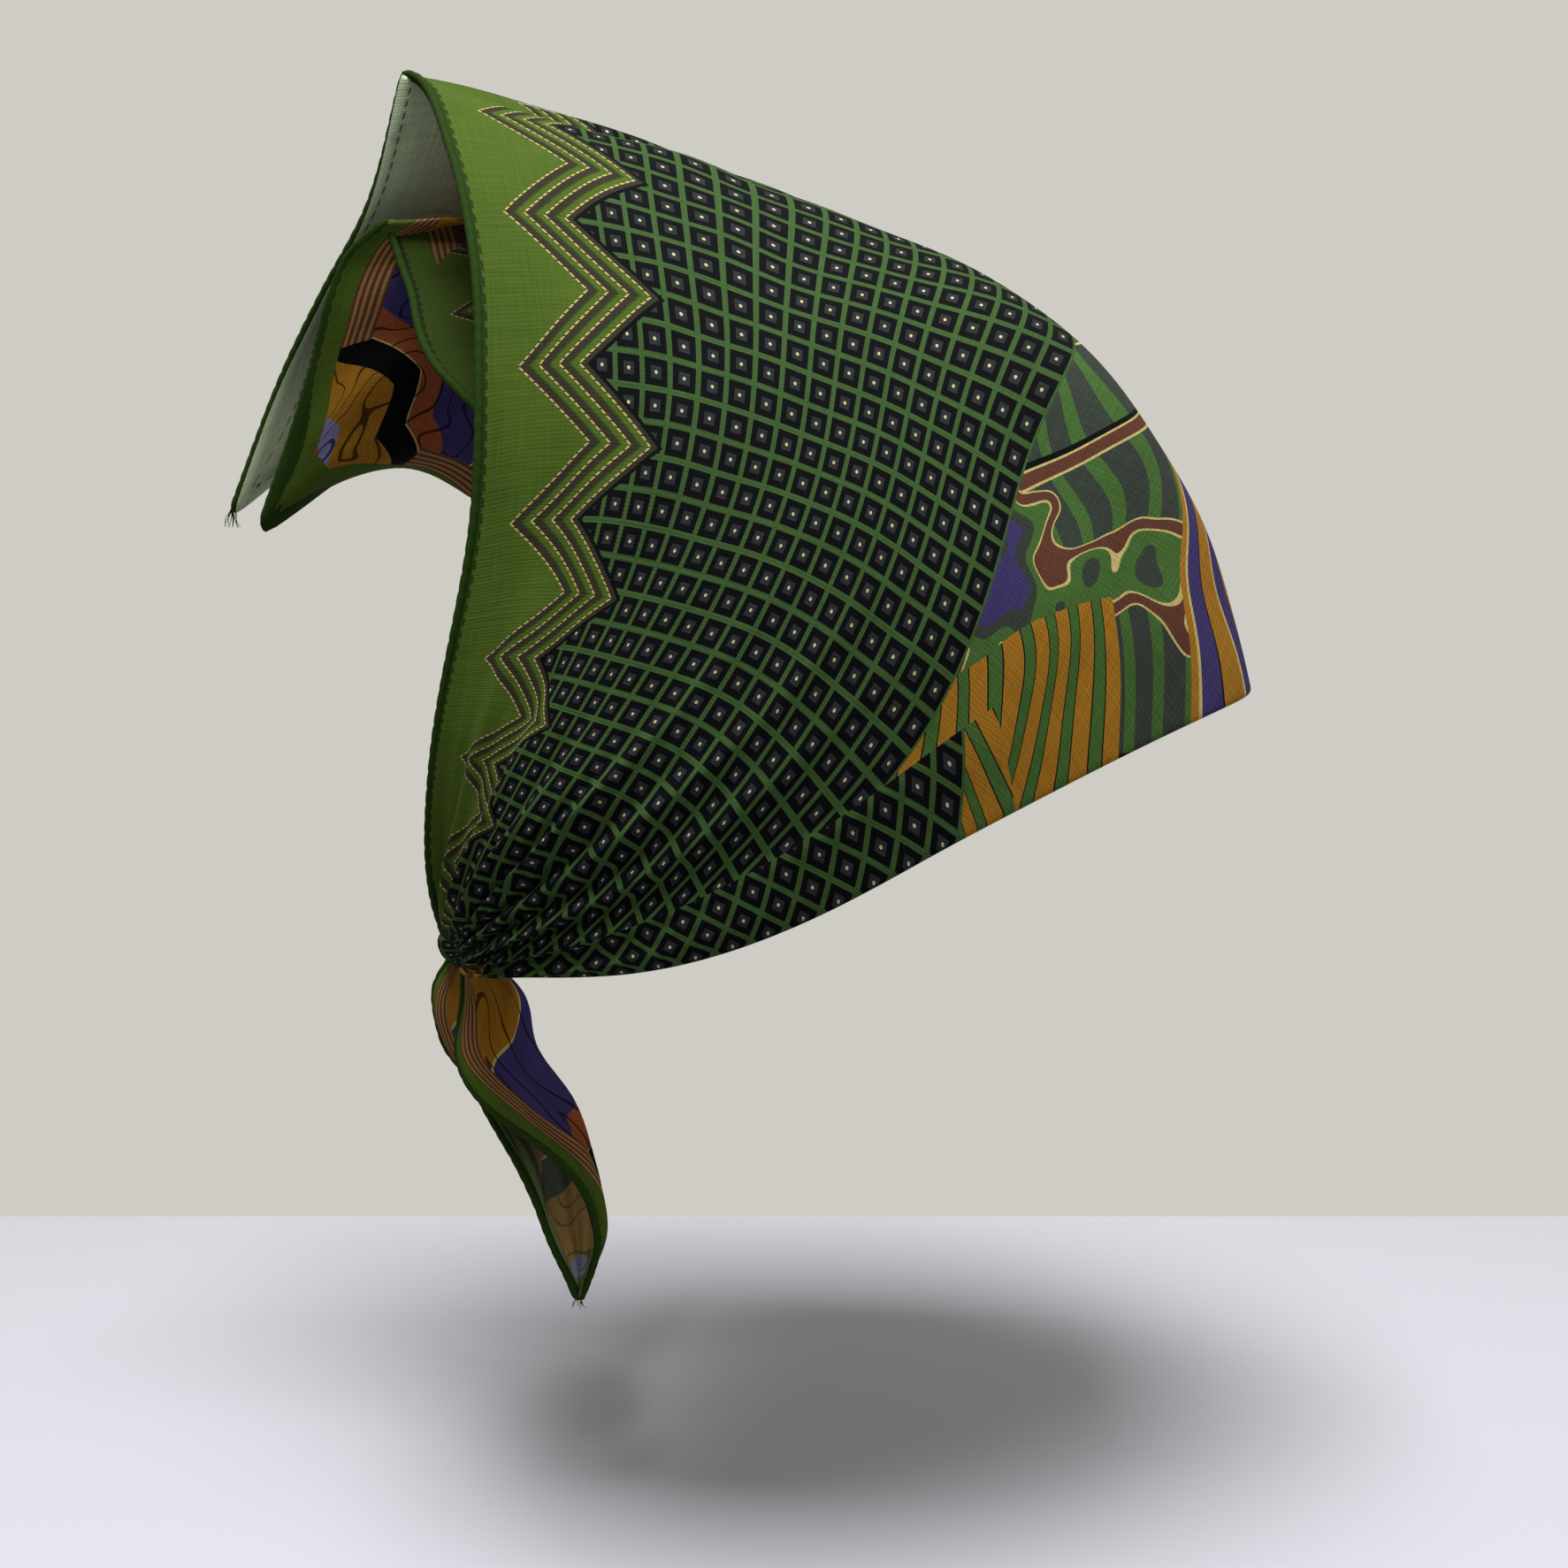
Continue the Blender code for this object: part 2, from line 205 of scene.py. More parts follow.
def latticePrint(node, look, p, q):
    # Lozenges: distance from the nearest line of the lattice, then from the lozenge's middle.
    cells = []
    for near in (p, q):
        cell = node("Math", (look["side"] / 2, near), operation="SUBTRACT")
        cell = node("Math", (cell, look["cell"]), operation="DIVIDE")
        cell = node("Math", (cell,), operation="FRACT")
        cell = node("Math", (cell, 0.5), operation="SUBTRACT")
        cells.append(node("Math", (cell,), operation="ABSOLUTE"))
    u, v = cells
    square = node("Math", (u, v), operation="MAXIMUM")
    lattice = node("ValToRGB", (square,), bands=(
        (0.0, look["lozenge"]), (look["lozengeSize"], look["black"]),
        (0.5 - look["latticeLine"] / 2, look["latticeGreen"]),
    ))
    middle = node("Math", (u, u), operation="MULTIPLY")
    middle = node("Math", (v, v, middle), operation="MULTIPLY_ADD")
    middle = node("Math", (middle,), operation="SQRT")
    return layOver(node, lattice, (middle, "LESS_THAN", look["dotSize"], look["dot"]))


def panelPrint(node, look, a, b, sway, leaf):
    # Central panel: combs of bars between wavy rows, with leaf forms over them.
    apart = node("Math", (a, b), operation="SUBTRACT")
    apart = node("Math", (apart,), operation="ABSOLUTE")
    fromFold = node("Math", (sway, 0.4, apart), operation="MULTIPLY_ADD")
    along = node("Math", (a, b), operation="ADD")
    along = node("Math", (sway, 0.6, along), operation="MULTIPLY_ADD")
    row = node("Math", (fromFold, look["rowShift"]), operation="ADD")
    row = node("Math", (row, look["panelRow"]), operation="DIVIDE")
    row = node("Math", (row,), operation="FRACT")
    bars = node("Math", (along, look["barStep"]), operation="DIVIDE")
    bars = node("Math", (bars,), operation="FRACT")
    panel = node("ValToRGB", (bars,), bands=((0.0, look["panel"]), (0.62, look["comb"])))
    waves = node("ValToRGB", (row,), bands=(
        (0.0, look["gold"]), (0.02, look["maroon"]), (0.13, look["gold"]), (0.15, look["black"]),
    ))
    leaves = node("ValToRGB", (leaf,), bands=(
        (0.0, look["gold"]), (0.555, look["maroon"]), (0.60, look["gold"]), (0.606, look["comb"]),
        (0.65, look["panel"]), (0.70, look["purple"]),
    ))
    front = node("ValToRGB", (bars,), bands=(
        (0.0, look["purple"]), (0.40, look["black"]), (0.43, look["ochre"]), (0.93, look["gold"]),
    ))
    warm = node("ValToRGB", (bars,), bands=(
        (0.0, look["ochre"]), (0.55, look["black"]), (0.59, look["comb"]), (0.96, look["black"]),
    ))
    low = node("Math", (fromFold, look["lowUpTo"]), operation="LESS_THAN")
    before = node("Math", (along, look["lowBefore"]), operation="LESS_THAN")
    low = node("Math", (low, before), operation="MULTIPLY")
    return layOver(
        node, panel,
        (row, "LESS_THAN", 0.20, waves),
        (leaf, "GREATER_THAN", look["leafFrom"], leaves),
        (along, "GREATER_THAN", look["frontFrom"], front),
        (low, "GREATER_THAN", 0.5, warm),
    )


def cornerPrint(node, look, fromSide, fromCorner, sway, leaf):
    # Corner motif: bands across the corner, swayed, with stripes beside the margin.
    tipward = node("Math", (fromSide, 0.45, fromCorner), operation="MULTIPLY_ADD")
    tipward = node("Math", (sway, 0.35, tipward), operation="MULTIPLY_ADD")
    tipward = node("Math", (tipward, look["cornerScale"]), operation="DIVIDE")
    corner = node("ValToRGB", (tipward,), bands=(
        (0.0, look["rust"]), (0.16, look["lilac"]), (0.235, look["ochre"]), (0.38, look["black"]),
        (0.455, look["gold"]), (0.46, look["rust"]), (0.52, look["purple"]), (0.63, look["gold"]),
        (0.636, look["ochre"]), (0.89, look["maroon"]), (0.93, look["gold"]), (0.94, look["maroon"]),
    ))
    curls = node("Math", (tipward, 0.35, leaf), operation="MULTIPLY_ADD")
    curls = node("Math", (curls, look["curlStep"]), operation="PINGPONG")
    curls = node("Math", (curls, look["curlLine"]), operation="LESS_THAN")
    curls = node("Math", (curls, look["curlDepth"]), operation="MULTIPLY")
    corner = node("Mix", {0: curls, 6: corner, 7: look["black"]}, data_type="RGBA")
    beside = node("Math", (sway, 0.05, fromSide), operation="MULTIPLY_ADD")
    beside = node("Math", (beside, look["tipStripeStep"]), operation="DIVIDE")
    beside = node("Math", (beside,), operation="FRACT")
    striped = node("ValToRGB", (beside,), bands=((0.0, look["maroon"]), (0.5, look["tan"])))
    nearSide = node("Math", (fromSide, look["borderStart"] + look["tipStripes"]), operation="LESS_THAN")
    offTip = node("Math", (fromCorner, look["tipStripesFrom"]), operation="GREATER_THAN")
    nearSide = node("Math", (nearSide, offTip), operation="MULTIPLY")
    return layOver(node, corner, (nearSide, "GREATER_THAN", 0.5, striped))


def clothPrint(node, look):
    # The printed design as a colour, worked out from the place on the flat square in mm.
    side = look["side"]
    spot = node("SeparateXYZ", (node("UVMap", uv_map="cloth"),))
    a, b = (node("Math", (axis, side), operation="MULTIPLY") for axis in spot.node.outputs[:2])
    reach = []
    for place in (a, b):
        off = node("Math", (place, side / 2), operation="SUBTRACT")
        off = node("Math", (off,), operation="ABSOLUTE")
        reach.append(node("Math", (side / 2, off), operation="SUBTRACT"))
    p, q = reach
    fromSide = node("Math", (p, q), operation="MINIMUM")
    fromCorner = node("Math", (p, q), operation="MAXIMUM")
    acrossCorner = node("Math", (p, q), operation="ADD")
    flat = node("CombineXYZ", (a, b))
    sway = node("TexNoise", (flat, None, 0.022, 1.0), noise_dimensions="2D")
    sway = node("Math", (sway, 0.5), operation="SUBTRACT")
    sway = node("Math", (sway, look["swaySize"]), operation="MULTIPLY")
    leaf = node("TexNoise", (flat, None, 0.030, 2.0), noise_dimensions="2D")
    border, inBorder = borderPrint(node, look, fromSide, fromCorner)
    # Put together from the hem inwards.
    colour = layOver(
        node, border,
        (inBorder, "GREATER_THAN", look["borderWidth"], latticePrint(node, look, p, q)),
        (fromSide, "GREATER_THAN", look["panelFrom"], panelPrint(node, look, a, b, sway, leaf)),
        (inBorder, "LESS_THAN", 0.0, look["margin"]),
        (
            acrossCorner, "LESS_THAN", look["cornerTo"],
            cornerPrint(node, look, fromSide, fromCorner, sway, leaf),
        ),
        (fromSide, "LESS_THAN", look["borderStart"] - 0.5, look["margin"]),
        (fromSide, "LESS_THAN", look["hem"], look["hemGreen"]),
    )
    return colour, a, b, fromSide


def clothMaterial(name, look, paleness, depth, paleFrom=0.0):
    # Voile: thin plain-weave cotton, screen printed. Matt, with slubs in the thread and, on some of the
    # wrong sides, painted light through the cloth: a paler colour.
    made = bpy.data.materials.new(name)
    made.use_nodes = True
    tree = made.node_tree
    shader = tree.nodes["Principled BSDF"]
    node = partial(addNode, tree)
    colour, a, b, fromSide = clothPrint(node, look)
    # Threads drawn at 0.8 mm, coarser than the real 0.35 mm, which would not show.
    threads, slubs = [], []
    for place in (a, b):
        turn = node("Math", (place, 2 * math.pi / look["thread"]), operation="MULTIPLY")
        threads.append(node("Math", (turn,), operation="SINE"))
    for ways in ((0.05, 1.0), (1.0, 0.05)):
        drawn = [node("Math", pair, operation="MULTIPLY") for pair in zip((a, b), ways)]
        slubs.append(node("TexNoise", (node("CombineXYZ", drawn), None, 1.3, 2.0)))
    weave = node("Math", threads, operation="ADD")
    slub = node("Math", slubs, operation="ADD")
    shade = node("Math", (slub, 0.42, 0.60), operation="MULTIPLY_ADD")
    # Depth scales the colours: on the right side to the dye's own darkness, on the other sides also as
    # painted shade or painted light.
    shade = node("Math", (shade, depth), operation="MULTIPLY")
    fade = node("TexNoise", (node("CombineXYZ", (a, b)), None, 0.02, 3.0))
    fade = node("Math", (fade, 0.25, 0.87), operation="MULTIPLY_ADD")
    shade = node("Math", (shade, fade), operation="MULTIPLY")
    # Stitches sink along the inner side of the hem, one for each step of a + b.
    both = node("Math", (a, b), operation="ADD")
    line = node("Math", (fromSide, look["hem"] + look["stitchInset"]), operation="SUBTRACT")
    line = node("Math", (line,), operation="ABSOLUTE")
    line = node("Math", (line, look["stitchWidth"]), operation="LESS_THAN")
    stitch = node("Math", (both, look["stitchStep"]), operation="DIVIDE")
    stitch = node("Math", (stitch,), operation="FRACT")
    stitch = node("Math", (stitch, look["stitchShare"]), operation="LESS_THAN")
    line = node("Math", (line, stitch), operation="MULTIPLY")
    if paleness:
        # Painted light: where light would come through the free cloth the colour is mixed towards pale, but
        # not in the gathers by a tied corner.
        fromTied = node("Math", (2 * look["side"], both), operation="SUBTRACT")
        fromTied = node("Math", (both, fromTied), operation="MINIMUM")
        free = node("Math", (fromTied, paleFrom), operation="SUBTRACT")
        free = node("Math", (free, look["paleOver"]), operation="DIVIDE", use_clamp=True)
        free = node("Math", (free, paleness), operation="MULTIPLY")
        colour = node("Mix", {0: free, 6: colour, 7: look["pale"]}, data_type="RGBA")
    shades = node("CombineXYZ", (shade, shade, shade))
    shaded = node("VectorMath", (colour, shades), operation="MULTIPLY")
    darker = node("Math", (line, 0.7), operation="MULTIPLY")
    shaded = node("Mix", {0: darker, 6: shaded, 7: look["black"]}, data_type="RGBA")
    tree.links.new(shaded, shader.inputs["Base Color"])
    height = node("Math", (slub, 0.8), operation="MULTIPLY")
    height = node("Math", (weave, 0.12, height), operation="MULTIPLY_ADD")
    height = node("Math", (line, -2.0, height), operation="MULTIPLY_ADD")
    tree.links.new(node("Bump", {0: 0.5, 1: 0.00018, 3: height}), shader.inputs["Normal"])
    shader.inputs["Roughness"].default_value = 0.9
    shader.inputs["Specular IOR Level"].default_value = 0.03
    return made


rightSide = clothMaterial("screen printed cotton voile", printLook, paleness=0.0, depth=0.48)
# Painted shade: the under layer's outside, between the layers, is darkened well below the right side.
wrongSidePaintedShade = clothMaterial("wrong side of the printed voile, darkened as painted shade", printLook, paleness=0.0, depth=0.19)
# Painted light: the hood's inside is paler and brighter for the light through the single cloth.
thinSidePaintedLight = clothMaterial(
    "wrong side of the single voile, paler for the light through it", printLook,
    paleness=0.70, depth=0.98, paleFrom=170.0,
)
# Painted light: each free end's inside is paler and brighter for the light through the cloth.
foldedSidePaintedLight = clothMaterial(
    "wrong side of the folded voile at a free end", printLook, paleness=0.22, depth=0.75, paleFrom=-110.0,
)
print("materials made")


# Cloth surfaces

hood = {
    "napeBack": 0.082,
    "napeDrop": 0.156,
    "reach": 0.192,
    "width": 0.156,
    "foldTilt": 19.5,
    "peakTilt": 94.4,
    "underPeakTilt": 97.0,
    "cornerReach": 0.106,
    "underCornerReach": 0.074,
    "cornerLean": 0.020,
    "inset": 0.0020,
    "gatherRadius": 0.0075,
    "gatheredFrom": 0.6,  # share of the way from the top to the knot
    "besideKnot": (0.5, 0.85),
    "knotClear": 0.001,
    "valleyPlace": -0.07,
    "valleySpread": 0.045,
    "knotWidth": 0.020,
    "knotHeight": 0.014,
    "knotRise": 0.004,
    "knotRows": 60,
    "knotColumns": 97,
    "knotClose": 0.00001,
    "pleatAt": 0.13,
    "pleatRise": 0.0012,
    "rows": 130,
    "columns": 330,
    "underRows": 110,
    "underColumns": 280,
    "underFirst": 0.012,
    "bunchRows": 0.03,
    "bunchColumns": 0.06,  # points crowd towards the knot
    # fan, reach, half width, ridge, shift of the top, valley
    "crown": (
        (0.00, 0.943, 0.955, 1.00, 0.00, 0.00),
        (0.18, 0.972, 1.000, 1.00, 0.00, 0.00),
        (0.36, 0.984, 1.000, 1.00, 0.00, 0.00),
        (0.60, 0.957, 0.915, 1.08, 0.04, 0.02),
        (0.80, 0.994, 0.760, 1.40, 0.14, 0.09),
        (1.00, 1.024, 0.580, 2.00, 0.00, 0.00),
    ),
    "under": (
        (0.00, 0.943, 0.955, 1.00, 0.00, 0.00),
        (0.18, 0.972, 1.000, 1.00, 0.00, 0.00),
        (0.36, 0.980, 0.990, 1.00, 0.00, 0.00),
        (0.60, 0.920, 0.860, 1.15, 0.00, 0.00),
        (0.80, 0.880, 0.700, 2.20, 0.00, 0.00),
        (1.00, 0.865, 0.600, 4.20, 0.00, 0.00),
    ),
    "foldLine": ((0.00, 1.00), (0.45, 0.82), (0.69, 0.31), (0.82, 0.28), (1.00, 0.28)),
    "rearLine": (
        (0.00, 1.00), (0.20, 0.964), (0.42, 0.905), (0.54, 0.890), (0.70, 0.945), (0.85, 1.02),
        (1.00, 1.04),
    ),
    "underRearLine": ((0.00, 1.00), (0.20, 0.98), (0.32, 0.945), (0.46, 0.79), (0.70, 0.84), (1.00, 0.88)),
    # along, back, up, out
    "cornerEdge": (
        (0.00, 0.000, 0.000, 0.0),
        (0.09, 0.102, -0.274, 0.4),
        (0.14, 0.200, -0.425, 0.6),
        (0.19, 0.290, -0.575, 0.8),
        (0.28, 0.425, -0.887, 1.0),
    ),
    "underCornerEdge": (
        (0.00, 0.000, 0.000, 0.0),
        (0.05, 0.110, -0.090, 0.2),
        (0.09, 0.175, -0.220, 0.35),
        (0.14, 0.235, -0.400, 0.6),
        (0.19, 0.310, -0.600, 0.8),
        (0.28, 0.425, -0.887, 1.0),
    ),
    "farEdge": (
        (0.38, 0.240, -0.650, 0.56),
        (0.50, 0.020, -0.600, 0.74),
        (0.64, -0.160, -0.900, 0.74),
        (0.82, -0.190, -1.380, 0.52),
    ),
    "underFarEdge": (
        (0.38, 0.160, -0.600, 0.45),
        (0.50, -0.120, -0.560, 0.60),
        (0.64, -0.340, -0.950, 0.62),
        (0.82, -0.360, -1.560, 0.44),
    ),
    "cornerSpan": 0.55,
    "cornerEase": 2.2,
    "dropEase": 5.5,
}


def knotPlace():
    return np.array([-hood["napeBack"], 0.0, -hood["napeDrop"]])


def besideKnot(forward, up):
    # Half width of the knot's ellipsoid at a place forward of and above the nape point.
    off = (forward**2 + (up - hood["knotRise"]) ** 2) / (hood["knotHeight"] / 2) ** 2
    return hood["knotWidth"] / 2 * np.sqrt(np.clip(1 - off, 0.5, 1))


def regularHood(fan, across, sections, rearTilt, rearLine, inset):
    # A fan of loops through the knot: each is a raised cosine in height and a power of a sine in
    # width, turned about the knot by the tilt between the fold and the rear edge.
    along = np.abs(across)
    loop = math.pi * along
    fold = math.radians(hood["foldTilt"]) * readTable(hood["foldLine"], 1, along)
    tilt = fold + (math.radians(rearTilt) * readTable(rearLine, 1, along) - fold) * fan
    fan = (tilt - fold) / (math.radians(hood["peakTilt"]) * readTable(hood["rearLine"], 1, along) - fold)
    reach = hood["reach"] * readTable(sections, 1, fan)
    halfWidth = hood["width"] / 2 * readTable(sections, 2, fan)
    ends = easeBetween(hood["gatheredFrom"], 1.0, along)
    out = reach / 2 * (1 + np.cos(loop))
    out = np.sqrt(out**2 + (hood["gatherRadius"] * ends) ** 2) - inset * np.cos(loop)
    side = (halfWidth - inset) * np.sin(loop) ** readTable(sections, 3, fan)
    beside = besideKnot(out * np.cos(tilt), out * np.sin(tilt)) + hood["knotClear"]
    side = side + easeBetween(*hood["besideKnot"], along) * beside
    y = np.sign(across) * side
    y = y + hood["width"] / 2 * readTable(sections, 4, fan) * np.cos(loop / 2) ** 6
    valley = np.exp(-(((across - hood["valleyPlace"]) / hood["valleySpread"]) ** 2))
    out = out - hood["width"] / 2 * readTable(sections, 5, fan) * valley
    place = knotPlace()
    return np.stack([place[0] + out * np.cos(tilt), y, place[2] + out * np.sin(tilt)], axis=-1)


def freeEdge(across, peak, reach, end, tipRows, farEdge):
    # The hanging corner's edge: table shares from the peak to the tip, then on to the knot.
    lean = hood["cornerLean"] * reach / hood["cornerReach"]
    half = hood["width"] / 2
    toTip = np.stack(
        [
            peak[0] - reach * readTable(tipRows, 1, across),
            peak[1] + lean * readTable(tipRows, 3, across),
            peak[2] + reach * readTable(tipRows, 2, across),
        ],
        axis=-1,
    )
    last = (1.0, (peak[0] - end[0]) / reach, (end[2] - peak[2]) / reach, end[1] / half)
    rows = (tipRows[-1][:3] + (lean / half,),) + farEdge + (last,)
    toKnot = np.stack(
        [
            peak[0] - reach * readTable(rows, 1, across),
            half * readTable(rows, 3, across),
            peak[2] + reach * readTable(rows, 2, across),
        ],
        axis=-1,
    )
    return np.where((across < tipRows[-1][0])[..., None], toTip, toKnot)


def hoodSurface(fan, across, sections, rearTilt, rearLine, inset, reach, tipRows, farEdge):
    # The regular hood, with its far rear drawn out to the hanging corner's edge.
    given = (sections, rearTilt, rearLine, inset)
    points = regularHood(fan, across, *given)
    far = np.maximum(across, 0.0)
    rear = regularHood(np.ones_like(fan), far, *given)
    one = np.ones((1, 1))
    peak = regularHood(one, 0 * one, *given)[0, 0]
    end = regularHood(one, one, *given)[0, 0]
    edge = freeEdge(far, peak, reach, end, tipRows, farEdge)
    bent = np.clip((fan - 1 + hood["cornerSpan"]) / hood["cornerSpan"], 0, 1)
    pull = np.stack([bent ** hood["cornerEase"]] * 2 + [bent ** hood["dropEase"]], axis=-1)
    return np.where((across > 0)[..., None], points + pull * (edge - rear), points)


clothLie = {
    # Where the flat square lies on the hood, in mm from the side that hangs behind and along it.
    # Near side: one row for each share from the knot (0) to the top (1), then a pair (a, b) for each
    # share of the fan.
    "fans": (0.0, 0.13, 0.3, 0.6, 0.8, 1.0),
    "near": (
        (0.00, 58, 58, 66, 51, 76, 41, 93, 24, 105, 12, 117, 0),
        (0.25, 122, 108, 126, 97, 130, 81, 134, 56, 134, 24, 135, 0),
        (0.40, 166, 148, 171, 130, 174, 104, 182, 62, 190, 25, 198, 0),
        (0.55, 205, 170, 211, 150, 220, 123, 229, 65, 238, 33, 246, 0),
        (0.70, 240, 194, 248, 178, 264, 147, 275, 79, 279, 45, 283, 0),
        (0.85, 256, 206, 266, 188, 284, 155, 312, 85, 314, 50, 312, 0),
        (1.00, 264, 214, 274, 196, 291, 160, 328, 92, 335, 53, 330, 0),
    ),
    # Far side: from the top (0), past the corner's tip, to the knot (1).
    "far": (
        (0.00, 264, 214, 274, 196, 291, 160, 328, 92, 335, 53, 330, 0),
        (0.14, 262, 230, 276, 212, 296, 188, 348, 116, 366, 68, 385, 0),
        (0.28, 264, 244, 280, 228, 306, 206, 366, 138, 396, 88, 440, 0),
        (0.38, 274, 264, 288, 246, 316, 222, 378, 157, 406, 112, 440, 50),
        (0.50, 296, 292, 298, 266, 326, 242, 384, 185, 411, 146, 440, 88),
        (0.64, 326, 326, 312, 298, 336, 278, 388, 232, 414, 198, 440, 140),
        (0.82, 354, 354, 340, 342, 350, 328, 398, 294, 418, 272, 440, 225),
        (1.00, 382, 382, 389, 374, 399, 364, 416, 347, 428, 335, 440, 323),
    ),
    # Below the pleat the fold is the square's diagonal: share of the way up, a = b there, and the
    # change of a and of b as far as the pleat.
    "band": (
        (0.00, 58, 5, -5),
        (0.20, 60, 7, -6),
        (0.25, 67, 8, -7),
        (0.375, 95, 12, -7),
        (0.47, 122, 13, -6),
        (0.55, 145, 13, -5),
        (0.62, 165, 13, -5),
    ),
    "bandBefore": -0.41,
    "underShift": 36.0,  # the under layer's corner hangs less far
    "tipShare": 0.28,  # the corner's tip, on the way from the top to the far side of the knot
    # How the print is moved on the under layer's visible flap: squeezed, then out from its edge.
    "flapSqueeze": 0.45,
    "flapShift": 9.0,
    "flapEase": 5.0,
}


def layOut(fan, across):
    # The tables are read smoothly along each side, then between the shares of the fan.
    flat = []
    for half in ("near", "far"):
        at = 1 - np.abs(across) if half == "near" else np.abs(across)
        pair = []
        for axis in (0, 1):
            numbers = range(1 + axis, 1 + 2 * len(clothLie["fans"]), 2)
            columns = [readTable(clothLie[half], number, at) for number in numbers]
            pair.append(between(clothLie["fans"], columns, fan))
        flat.append(np.stack(pair, axis=-1))
    return np.where((across <= 0)[..., None], flat[0], flat[1])


def between(places, columns, at):
    # Cubic pieces between whole arrays given at a few places.
    places = np.array(places, float)
    columns = np.stack(columns)
    slope = np.gradient(columns, places, axis=0)
    i = np.clip(np.searchsorted(places, at, side="right") - 1, 0, len(places) - 2)
    step = places[i + 1] - places[i]
    s = (at - places[i]) / step
    rows, cols = np.indices(at.shape)
    low, high = columns[i, rows, cols], columns[i + 1, rows, cols]
    slopeLow, slopeHigh = slope[i, rows, cols], slope[i + 1, rows, cols]
    value = (1 + 2 * s) * (1 - s) ** 2 * low + s * (1 - s) ** 2 * step * slopeLow
    return value + s**2 * (3 - 2 * s) * high + s**2 * (s - 1) * step * slopeHigh


folds = {
    "gather": 0.0012,
    "gatherLift": 0.7,
    "crease": 0.0013,
    # fan, drift towards the top, width, depth
    "creases": ((0.20, 0.10, 0.022, 1.0), (0.34, 0.0, 0.018, 1.0), (0.50, -0.10, 0.020, 0.8)),
    "wrinkle": 0.00022,
    "slack": 0.0011,
    "sink": 0.0008,
}


def gatherFolds(fan, across, sharpness):
    # Pleats that run into the knot: uneven sines across the fan, deep near the knot and gone by the
    # middle of each side.
    along = np.abs(across)
    side = np.sign(across)
    phase = 2 * math.pi * (8.5 * fan + 0.35 * np.sin(5 * fan + side) + 0.12 * side)
    wave = np.cos(phase) + 0.45 * np.cos(2.1 * phase + 1.3)
    near = easeBetween(0.52, 0.80, along) * (1 - 0.75 * easeBetween(0.92, 1.0, along))
    # Long creases that only some of the folds send out over the side.
    crease = 0
    for place, drift, width, depth in folds["creases"]:
        crease = crease + depth * np.exp(-(((fan - place - drift * (1 - along)) / width) ** 2))
    crease = crease * easeBetween(0.35, 0.70, along) * (1 - easeBetween(0.9, 1.0, along))
    lifted = folds["gather"] * (wave + folds["gatherLift"] * sharpness) * near
    return sharpness * (lifted + folds["crease"] * crease)


def wrinkles(fan, across):
    # Shallow slack in the cloth: sines of three lengths that cross at different slants, faded out
    # at the fold and the hem.
    one = np.sin(23 * fan + 31 * across + 1.7 * np.sin(9 * fan))
    two = np.sin(41 * fan - 26 * across + 2.0 * np.sin(7 * across))
    three = np.sin(13 * fan + 17 * across)
    inside = easeBetween(0, 0.12, fan) * (1 - easeBetween(0.93, 1, fan))
    return folds["wrinkle"] * (one + 0.6 * two + 1.2 * three) * inside


def lieArea(corners):
    # Square metres of the flat cloth under the quads: half the cross product of each one's diagonals.
    corner = corners.reshape(-1, 4, 2) / 1000
    one, two = corner[:, 2] - corner[:, 0], corner[:, 3] - corner[:, 1]
    return float(np.abs(one[:, 0] * two[:, 1] - one[:, 1] * two[:, 0]).sum() / 2)


def gridQuads(index):
    # The four corners of each face of a grid of point numbers.
    corners = [index[..., :-1, :-1], index[..., 1:, :-1], index[..., 1:, 1:], index[..., :-1, 1:]]
    return np.stack(corners, axis=-1).reshape(-1, 4)


def sheetQuads(rows, columns):
    # The same, turned over, so that a sheet's right side points outwards.
    return gridQuads(np.arange(rows * columns).reshape(rows, columns))[:, [0, 3, 2, 1]]


def plainCorners(flat, quads):
    return flat.reshape(-1, 2)[quads.ravel()]


def meshPiece(name, points, quads, lie, materials, closeWithin=None):
    # Points and faces put into a mesh, with each corner's place on the flat square in mm as its UV.
    mesh = bpy.data.meshes.new(name)
    mesh.from_pydata(points.reshape(-1, 3), [], quads)
    layer = mesh.uv_layers.new(name="cloth")
    layer.data.foreach_set("uv", (lie / printLook["side"]).astype(np.float32).ravel())
    mesh.shade_smooth()
    made = bpy.data.objects.new(name, mesh)
    bpy.context.scene.collection.objects.link(made)
    for given in materials:
        mesh.materials.append(given)
    if closeWithin:
        weld = made.modifiers.new("close", "WELD")
        weld.merge_threshold = closeWithin
    return made


def makeSheet(name, points, flat, wall, materials, flatOf=plainCorners):
    # A grid of points becomes quads; each face's corners take their place on the flat square.
    quads = sheetQuads(*points.shape[:2])
    lie = flatOf(flat, quads)
    made = meshPiece(name, points, quads, lie, materials)
    made["flatArea"] = lieArea(lie)
    group = made.vertex_groups.new(name="wall")
    thickest = float(wall.max())
    level = np.round(wall.ravel() / thickest, 3)
    for value in np.unique(level):
        group.add(np.nonzero(level == value)[0].tolist(), float(value), "REPLACE")
    solid = made.modifiers.new("wall", "SOLIDIFY")
    solid.thickness = thickest
    solid.offset = -1.0
    solid.vertex_group = "wall"
    solid.material_offset = 1
    solid.material_offset_rim = 0
    solid.use_even_offset = False
    return made


cloth = {"thin": 0.0005, "hem": 0.0012, "hemWidth": 0.0024}


def clothWall(points):
    # Thin cloth, thicker within the hem's width of the free edge.
    length = np.linalg.norm(np.diff(points[::-1], axis=0), axis=-1)
    fromEdge = np.concatenate([np.zeros((1, points.shape[1])), np.cumsum(length, axis=0)])[::-1]
    return np.where(fromEdge < cloth["hemWidth"], cloth["hem"], cloth["thin"])


